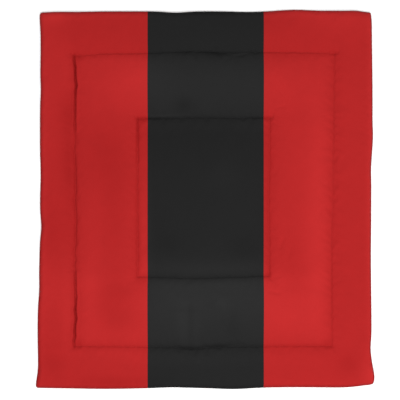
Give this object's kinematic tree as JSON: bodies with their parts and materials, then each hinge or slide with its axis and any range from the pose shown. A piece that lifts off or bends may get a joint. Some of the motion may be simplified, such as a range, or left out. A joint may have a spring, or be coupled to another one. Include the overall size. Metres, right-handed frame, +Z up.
{
  "type": "striped comforter",
  "caption": "Rectangular filled comforter lying flat, with a plain sewn edge, quilted through along one rectangle inside another, red with a broad black band down the middle.",
  "frame": {"origin": "on the surface that the comforter lies on, under the middle of its outline", "axes": "+X across the comforter to the right of someone looking down at it from the foot, +Y towards its head, +Z up"},
  "size_m": [2.0536, 2.3028, 0.0574],
  "materials": {
    "printed_cloth": "brushed polyester cloth, matt, printed red with a black band"
  },
  "bodies": {
    "root": {"comforter": "printed_cloth"}
  },
  "joints": []
}
